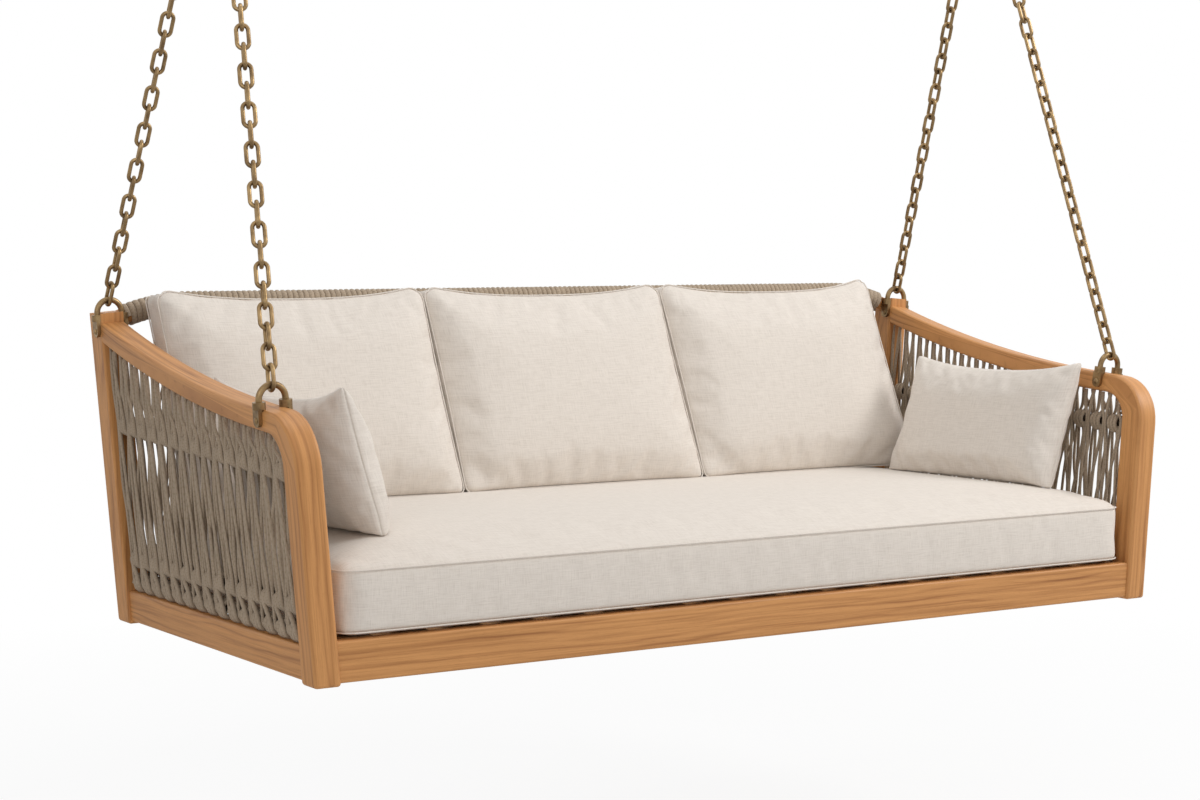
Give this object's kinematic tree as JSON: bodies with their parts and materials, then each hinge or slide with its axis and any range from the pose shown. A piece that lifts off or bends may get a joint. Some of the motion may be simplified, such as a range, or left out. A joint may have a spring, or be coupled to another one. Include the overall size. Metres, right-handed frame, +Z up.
{
  "type": "hanging swing bed",
  "caption": "Long hanging bed: teak frame with splayed sides, rope-woven sides and back, loose linen cushions, chains that meet in rings under pivoting ceiling hangers.",
  "frame": {"origin": "on the plane of the posts' feet, at the middle of the frame's length and depth", "axes": "+X along the bed to the sitter's left, +Y from the open front to the back, +Z up"},
  "size_m": [2.1294, 0.936, 1.7669],
  "materials": {
    "teak": "light brown teak, oiled, matte, grain along each member",
    "slat_wood": "planed plain wood, matte",
    "rope": "taupe braided outdoor rope, matte",
    "rod_metal": "dark powder coat, matte",
    "bronze": "antique bronze plating over steel, satin, worn lighter on the edges",
    "bush_brass": "machined brass",
    "cushion_fabric": "off-white linen weave, matte, with piped seams",
    "pillow_fabric": "off-white linen weave, matte"
  },
  "bodies": {
    "hangers": {"left_ceiling_bracket": "bronze", "right_ceiling_bracket": "bronze", "pivot_bolts": "bronze", "pivot_nuts": "bronze", "pivot_washers": "bronze"},
    "bed": {"front_rail": "teak", "rear_rail": "teak", "left_side_rail": "teak", "right_side_rail": "teak", "left_arm": "teak", "right_arm": "teak", "left_rear_post": "teak", "right_rear_post": "teak", "front_cleat": "slat_wood", "rear_cleat": "slat_wood", "centre_bearer": "slat_wood", "seat_slats": "slat_wood", "back_top_rail": "teak", "back_rail_wrap": "rope", "left_rope_rods": "rod_metal", "right_rope_rods": "rod_metal", "back_rope_rods": "rod_metal", "left_rope_weave": "rope", "right_rope_weave": "rope", "back_rope_weave": "rope", "left_front_shackle": "bronze", "left_rear_shackle": "bronze", "right_front_shackle": "bronze", "right_rear_shackle": "bronze", "shackle_bolts": "bronze", "left_front_chain": "bronze", "left_rear_chain": "bronze", "right_front_chain": "bronze", "right_rear_chain": "bronze", "left_hanging_ring": "bronze", "right_hanging_ring": "bronze", "left_swing_eye": "bronze", "right_swing_eye": "bronze", "eye_bushes": "bush_brass", "seat_cushion": "cushion_fabric", "left_back_cushion": "cushion_fabric", "middle_back_cushion": "cushion_fabric", "right_back_cushion": "cushion_fabric", "left_lumbar_pillow": "pillow_fabric", "right_lumbar_pillow": "pillow_fabric"}
  },
  "joints": [
    {"name": "swing", "type": "hinge", "parent": "hangers", "child": "bed", "pos_m": [0, 0.01966, 1.73687], "axis": [1, 0, 0], "range_deg": [-20, 20]}
  ]
}
